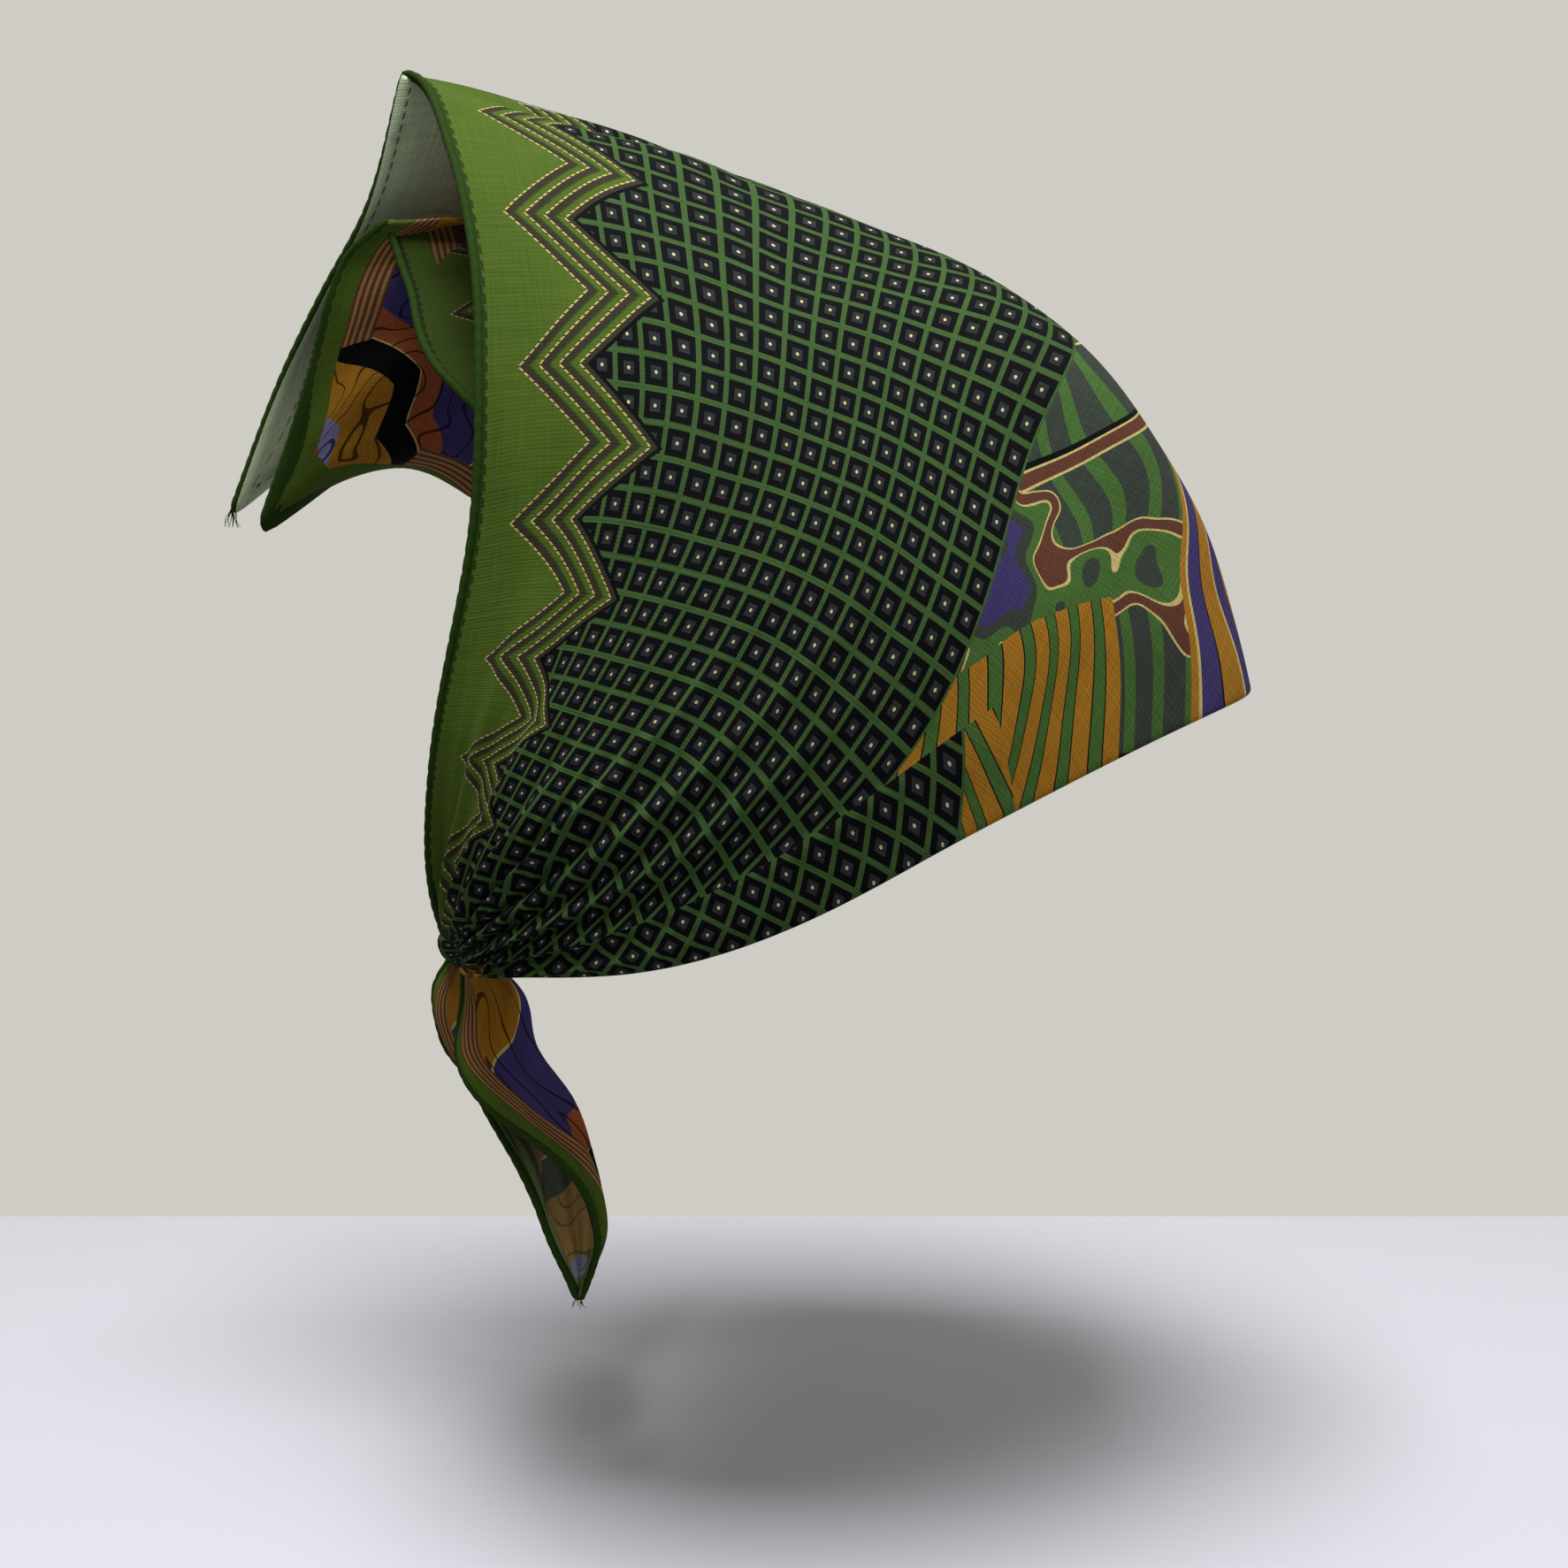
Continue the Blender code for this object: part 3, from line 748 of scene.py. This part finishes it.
def outerHood():
    # The crown layer and, past the forehead fold, a half round that meets the under layer.
    rows, columns = hood["rows"], hood["columns"]
    fan = np.linspace(0, 1, rows)
    fan = fan + hood["bunchRows"] * np.sin(2 * math.pi * fan) / (2 * math.pi)
    across = np.linspace(-1, 1, columns)
    across = across + hood["bunchColumns"] * np.sin(math.pi * across)
    fan, across = np.meshgrid(fan, across, indexing="ij")
    points = hoodSurface(
        fan, across, hood["crown"], hood["peakTilt"], hood["rearLine"], 0.0, hood["cornerReach"],
        hood["cornerEdge"], hood["farEdge"],
    )
    normal = sheetNormals(points)
    rise = gatherFolds(fan, across, 1.0) + wrinkles(fan, across)
    pleated = 1 - easeBetween(hood["pleatAt"] - 0.02, hood["pleatAt"] + 0.01, fan)
    rise = rise + hood["pleatRise"] * easeBetween(0.42, 0.55, -across) * pleated
    outward = np.sign(np.sum(normal[:, columns // 4] * np.array([0, -1.0, 0]), axis=-1).mean())
    points = points + (outward * rise)[..., None] * normal
    flat = layOut(fan, across)
    # Round the fold: down and in by a half circle one inset wide.
    turn = np.linspace(0, math.pi, 9)[:0:-1]
    radius = hood["inset"] / 2
    away = points[0] - points[2]
    away = away / np.linalg.norm(away, axis=-1, keepdims=True)
    inward = -outward * normal[0]
    turned = turn[:, None, None]
    roll = points[0] + radius * ((1 - np.cos(turned)) * inward + 1.2 * np.sin(turned) * away)
    points = np.concatenate([roll, points])
    onRoll = np.concatenate([1000 * radius * turn, np.zeros(rows)])[:, None, None] * np.array([-0.7, 0.7])
    flat = np.concatenate([np.repeat(flat[:1], len(turn), axis=0), flat]) + onRoll
    fan = np.concatenate([np.zeros((len(turn), columns)), fan])
    across = np.concatenate([np.repeat(across[:1], len(turn), axis=0), across])
    wall = clothWall(points)

    def corners(flat, quads):
        # Faces below the pleat take the fold's own lie; the rest take the tables'.
        share = 1 - np.abs(across)
        onFold, forward, down = (readTable(clothLie["band"], column, share) for column in (1, 2, 3))
        up = fan / hood["pleatAt"]
        band = np.stack([onFold + forward * up, onFold + down * up], axis=-1) + onRoll
        below = fan.ravel()[quads].mean(axis=1) < hood["pleatAt"]
        below = below & (across.ravel()[quads].mean(axis=1) < clothLie["bandBefore"])
        both = np.where(below[:, None, None], band.reshape(-1, 2)[quads], flat.reshape(-1, 2)[quads])
        return both.reshape(-1, 2)

    sheets["outer"] = points
    # Its inside takes the wrong side with painted light through the cloth.
    return makeSheet("outerLayer", points, flat, wall, (rightSide, thinSidePaintedLight), corners)


def underHood():
    # The under layer, wrong side out, on the same plan as the outer one.
    fan = np.linspace(hood["underFirst"], 1, hood["underRows"])
    across = np.linspace(-1, 1, hood["underColumns"])
    across = across + hood["bunchColumns"] * np.sin(math.pi * across)
    fan, across = np.meshgrid(fan, across, indexing="ij")
    points = hoodSurface(
        fan, across, hood["under"], hood["underPeakTilt"], hood["underRearLine"], hood["inset"],
        hood["underCornerReach"], hood["underCornerEdge"], hood["underFarEdge"],
    )
    normal = sheetNormals(points)
    onSide = normal[:, hood["underColumns"] // 4]
    outward = np.sign(np.sum(onSide * np.array([0, -1.0, 0]), axis=-1).mean())
    # Its own folds sink towards the head, clear of the outer layer's.
    slack = folds["slack"] * easeBetween(0.55, 0.85, fan) * np.sin(60 * across + 3 * np.sin(4 * fan))
    slack = slack * (1 - easeBetween(0.90, 1.0, fan)) * (1 - easeBetween(0.7, 0.9, np.abs(across)))
    sink = gatherFolds(fan, across, -1.0) + slack - folds["sink"] * easeBetween(0, 0.1, fan)
    points = points + (outward * sink)[..., None] * normal
    flat = layOut(fan, across)
    toHem = easeBetween(0.5, 1.0, fan)
    toTip = np.clip(1 - across / clothLie["tipShare"], 0, 1)
    nearTop = np.where(across <= 0, (1 - np.abs(across)) ** 2, toTip)
    flat[..., 0] += clothLie["underShift"] * toHem * nearTop
    # The cut's area comes from the lie before the print is moved on the flap.
    cutArea = lieArea(plainCorners(flat, sheetQuads(*fan.shape)))
    # Only the print is moved here: the flap turns away, and its edge shows more than the tables give.
    onFlap = easeBetween(0, 0.06, across) * (1 - easeBetween(0.3, 0.5, across))
    flat[..., 1] *= 1 - clothLie["flapSqueeze"] * onFlap
    flat[..., 1] += clothLie["flapShift"] * (1 - np.exp(-flat[..., 1] / clothLie["flapEase"])) * onFlap
    flat = flat[..., ::-1]
    wall = clothWall(points)
    sheets["under"] = points
    # Its outside takes the wrong side, darkened as painted shade between the layers.
    made = makeSheet("underLayer", points, flat, wall, (wrongSidePaintedShade, rightSide))
    made["flatArea"] = cutArea
    return made


cord = {
    "radius": 0.00095,
    "pitch": 0.0034,  # from stitch to stitch
    "endRadius": 0.00080,
    "endPitch": 0.0032,
    "inset": 0.0006,
    "step": 0.0009,
    "waist": 0.16,
    "close": 0.000005,
}


def hemCord(name, path, radius, pitch):
    # The rolled hem: a round profile along the sheet's edge, drawn in at each stitch and at the ends.
    length = np.concatenate([[0], np.cumsum(np.linalg.norm(np.diff(path, axis=0), axis=-1))])
    count = int(length[-1] / cord["step"])
    at = np.linspace(0, length[-1], count)
    line = np.stack([np.interp(at, length, path[:, k]) for k in range(3)], axis=-1)
    run = np.gradient(line, axis=0)
    run = run / np.linalg.norm(run, axis=-1, keepdims=True)
    side = np.cross(run, np.array([0.31, 0.87, 0.38]))
    side = side / np.linalg.norm(side, axis=-1, keepdims=True)
    up = np.cross(run, side)
    turn = np.linspace(0, 2 * math.pi, 13)
    drawn = radius * (1 - cord["waist"] * np.cos(math.pi * at / pitch) ** 8)
    drawn = drawn * np.sqrt(np.clip(np.minimum(at, length[-1] - at) / radius, 0.0, 1.0))
    ring = np.cos(turn)[None, :, None] * side[:, None] + np.sin(turn)[None, :, None] * up[:, None]
    points = line[:, None] + drawn[:, None, None] * ring
    quads = gridQuads(np.arange(count * len(turn)).reshape(count, len(turn)))
    return meshPiece(name, points, quads, np.ones((4 * len(quads), 2)), (rightSide,), cord["close"])


def edgeCord(name, points):
    # A cord on the last row of a sheet.
    away = points[-1] - points[-2]
    away = away / np.linalg.norm(away, axis=-1, keepdims=True)
    return hemCord(name, points[-1] - cord["inset"] * away, cord["radius"], cord["pitch"])


sheets = {}
outer = outerHood()
under = underHood()
outerCord = edgeCord("outerHem", sheets["outer"])
underCord = edgeCord("underHem", sheets["under"])
print("hood made")


tails = {
    "length": 0.074,
    "width": 0.019,
    "clear": 0.0004,
    # a + b in mm is cornerMm + tipMm at the knot and tipMm at the tip. So small a corner is shorter
    # along its middle than the modelled end.
    "cornerMm": 84.0,
    "tipMm": 3.0,
    "flat": (0.124, 0.062),
    "rows": 70,
    "columns": 60,
    # along, forward, outward, width, turn, wrap
    "near": (
        (0.00, 0.040, 0.01, 0.40, 180.0, 150.0),
        (0.08, 0.075, 0.02, 0.66, 182.0, 150.0),
        (0.26, 0.100, 0.06, 0.96, 186.0, 148.0),
        (0.40, 0.185, 0.08, 1.02, 205.0, 142.0),
        (0.57, 0.290, 0.09, 0.80, 240.0, 130.0),
        (0.78, 0.335, 0.06, 0.67, 270.0, 115.0),
        (1.00, 0.340, 0.02, 0.08, 280.0, 90.0),
    ),
    "far": (
        (0.00, -0.02, 0.01, 0.40, 180.0, 150.0),
        (0.08, -0.035, 0.03, 0.68, 182.0, 150.0),
        (0.26, -0.005, 0.07, 0.90, 186.0, 148.0),
        (0.40, 0.100, 0.09, 0.90, 200.0, 146.0),
        (0.57, 0.210, 0.10, 0.74, 225.0, 130.0),
        (0.78, 0.280, 0.07, 0.56, 250.0, 115.0),
        (1.00, 0.320, 0.03, 0.08, 260.0, 90.0),
    ),
}


threads = {"count": 9, "steps": 14, "sides": 6, "radius": 0.00016, "rooted": 0.0012, "close": 0.000002}


def looseThreads(name, place, seed, length):
    # Frayed ends: thin tubes that droop, each turned by the golden angle from the last.
    size = (threads["count"], threads["steps"], threads["sides"])
    number = np.arange(size[0])[:, None, None]
    along = np.linspace(0, 1, size[1])[None, :, None]
    turn = np.linspace(0, 2 * math.pi, size[2])[None, None, :]
    aim = number * 2.4 + seed
    hang = length * (0.45 + 0.55 * np.abs(np.sin(3.1 * number + seed)))
    radius = threads["radius"] * (1 - 0.6 * along)
    x = 0.35 * hang * along * np.cos(aim) * (1 + 0.3 * np.sin(6 * along + aim)) + radius * np.cos(turn)
    y = 0.35 * hang * along * np.sin(aim) * (1 + 0.3 * np.cos(5 * along + aim)) + radius * np.sin(turn)
    z = -hang * along**1.2 + threads["rooted"] + 0 * turn
    points = np.stack(np.broadcast_arrays(x, y, z), axis=-1) + np.asarray(place)
    quads = gridQuads(np.arange(math.prod(size)).reshape(size))
    return meshPiece(name, points, quads, np.ones((4 * len(quads), 2)), (rightSide,), threads["close"])


def freeEnd(name, side, sections):
    # A strip with a C-shaped section: an arc whose middle drifts forward and whose opening turns.
    down, across = np.meshgrid(
        np.linspace(0, 1, tails["rows"]), np.linspace(-1, 1, tails["columns"]), indexing="ij"
    )
    radius = tails["width"] / 2 * readTable(sections, 3, down)
    angle = np.radians(readTable(sections, 4, down) + 180 + across * readTable(sections, 5, down))
    ripple = 1 + 0.11 * np.sin(15 * across + 9 * down) + 0.04 * np.sin(23 * down + 7 * across)
    forward = tails["length"] * readTable(sections, 1, down) + radius * ripple * np.cos(angle)
    outward = hood["knotWidth"] / 4 + tails["length"] * readTable(sections, 2, down)
    outward = outward - radius * ripple * np.sin(angle)
    off = (forward[0] / (hood["knotHeight"] / 2)) ** 2 + (outward[0] / (hood["knotWidth"] / 2)) ** 2
    top = hood["knotRise"] - hood["knotHeight"] / 2 * np.sqrt(np.clip(1 - off, 0.5, 1)) - tails["clear"]
    up = top * (1 - down) - tails["length"] * down
    points = np.stack([forward, side * outward, up], axis=-1) + knotPlace()
    both = tails["cornerMm"] * (1 - down) ** 0.5 + tails["tipMm"]
    spread = across * (0.55 + 0.45 * across**2)
    flat = np.stack([both / 2 * (1 - spread), both / 2 * (1 + spread)], axis=-1)
    wall = np.where(np.minimum(flat[..., 0], flat[..., 1]) < printLook["hem"], cloth["hem"], cloth["thin"])
    sheets[name] = points
    if side < 0:
        points, flat, wall = points[:, ::-1], flat[:, ::-1], wall[:, ::-1]
    # Its inside takes the wrong side with painted light through the cloth.
    return makeSheet(name, points, flat, wall, (rightSide, foldedSidePaintedLight))


tailNear = freeEnd("freeEndNear", -1, tails["near"])
tailFar = freeEnd("freeEndFar", 1, tails["far"])
cords = []
for name in ("freeEndNear", "freeEndFar"):
    strip = sheets[name]
    path = np.concatenate([strip[:, 0], strip[::-1, -1]])
    cords.append(hemCord(name + "Hem", path, cord["endRadius"], cord["endPitch"]))
edgePath = sheets["outer"][-1]
cornerTip = edgePath[np.argmin(edgePath[:, 0])]
threadsNear = looseThreads("threadsNear", sheets["freeEndNear"][-1].mean(axis=0), 0.4, 0.006)
threadsCorner = looseThreads("threadsCorner", cornerTip, 1.9, 0.005)
print("free ends made")


def tiedKnot():
    # An ellipsoid whose radius dips along two turns of cloth and along fine creases in each turn.
    down, turn = np.meshgrid(
        np.linspace(0, math.pi, hood["knotRows"]), np.linspace(0, 2 * math.pi, hood["knotColumns"]),
        indexing="ij",
    )
    groove = np.abs(np.sin(turn + 2.0 * down))
    crease = np.sin(14 * (turn + 0.6 * np.sin(2 * down)) + 6 * down)
    radius = 0.86 + 0.14 * groove**0.5 + 0.02 * crease * np.sin(down)
    ring = np.sin(down) * radius
    points = np.stack(
        [
            hood["knotHeight"] / 2 * ring * np.cos(turn),
            hood["knotWidth"] / 2 * ring * np.sin(turn),
            hood["knotRise"] + hood["knotHeight"] / 2 * np.cos(down) * radius,
        ],
        axis=-1,
    ) + knotPlace()
    points[:, -1] = points[:, 0]
    points[0], points[-1] = points[0, 0], points[-1, 0]
    quads = gridQuads(np.arange(turn.size).reshape(turn.shape))
    flat = np.stack([60 + 30 * turn / math.pi, 60 + 20 * down], axis=-1)
    return meshPiece("tiedKnot", points, quads, plainCorners(flat, quads), (rightSide,), hood["knotClose"])


tied = tiedKnot()
print("knot made")

pieces = (
    (outer, "crown_layer", "printed_green_cotton"),
    (under, "under_layer", "pale_wrong_side_cotton"),
    (outerCord, "crown_layer", "printed_green_cotton"),
    (underCord, "under_layer", "pale_wrong_side_cotton"),
    (tied, "knot", "dark_hem_cotton"),
    (tailNear, "tail_near", "ochre_print_cotton"),
    (tailFar, "tail_far", "ochre_print_cotton"),
    (cords[0], "tail_near", "ochre_print_cotton"),
    (cords[1], "tail_far", "ochre_print_cotton"),
    (threadsNear, "tail_near", "ochre_print_cotton"),
    (threadsCorner, "crown_layer", "printed_green_cotton"),
)
for piece, node, slot in pieces:
    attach(piece, "root")
    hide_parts(node)
# Each sheet's flat area is worked out above from how the square lies on it.


# Stage

stage = {
    "floorZ": -0.268,
    "floorBack": 0.195,
    "floorSide": 2.0,
    "floor": "#8b8a91",
    "wall": "#d3d1c9",
    "wallStrength": 0.95,
    "lens": 36.0,  # and the sensor's width, in mm
    "camera": (-0.012, -0.349, -0.118),
    "aim": (0.0, 0.0, -0.08),
    # name, place, size, power
    "lamps": (
        ("key", (-0.06, -0.34, 1.05), 0.6, 46.0),
        ("fill", (1.2, -0.9, 0.4), 1.2, 9.0),
    ),
}


def plainMaterial(name, colour, roughness):
    made = bpy.data.materials.new(name)
    made.use_nodes = True
    shader = made.node_tree.nodes["Principled BSDF"]
    shader.inputs["Base Color"].default_value = (*linearColour(colour), 1)
    shader.inputs["Roughness"].default_value = roughness
    return made


floorMesh = bpy.data.meshes.new("floor")
side, back = stage["floorSide"], stage["floorBack"]
outline = [(x, y, stage["floorZ"]) for x, y in ((-side, -side), (side, -side), (side, back), (-side, back))]
floorMesh.from_pydata(outline, [], [(0, 1, 2, 3)])
floor = bpy.data.objects.new("floor", floorMesh)
bpy.context.scene.collection.objects.link(floor)
floorMesh.materials.append(plainMaterial("painted board", stage["floor"], 0.8))

world = bpy.data.worlds.new("studio")
world.use_nodes = True
background = world.node_tree.nodes["Background"]
background.inputs["Color"].default_value = (*linearColour(stage["wall"]), 1)
background.inputs["Strength"].default_value = stage["wallStrength"]
bpy.context.scene.world = world

for name, place, size, power in stage["lamps"]:
    lamp = bpy.data.lights.new(name, "AREA")
    lamp.size = size
    lamp.energy = power
    made = bpy.data.objects.new(name, lamp)
    bpy.context.scene.collection.objects.link(made)
    made.location = place
    aim = np.array(stage["aim"]) - np.array(place)
    lean, heading = math.atan2(np.hypot(aim[0], aim[1]), -aim[2]), math.atan2(aim[1], aim[0])
    made.rotation_euler = (lean, 0, heading - math.pi / 2)

view = bpy.data.cameras.new("view")
view.lens = stage["lens"]
view.sensor_width = stage["lens"]
camera = bpy.data.objects.new("view", view)
bpy.context.scene.collection.objects.link(camera)
camera.location = stage["camera"]
camera.rotation_euler = (math.pi / 2, 0, 0)
bpy.context.scene.camera = camera
bpy.context.scene.view_settings.view_transform = "Standard"

print("scene ready")
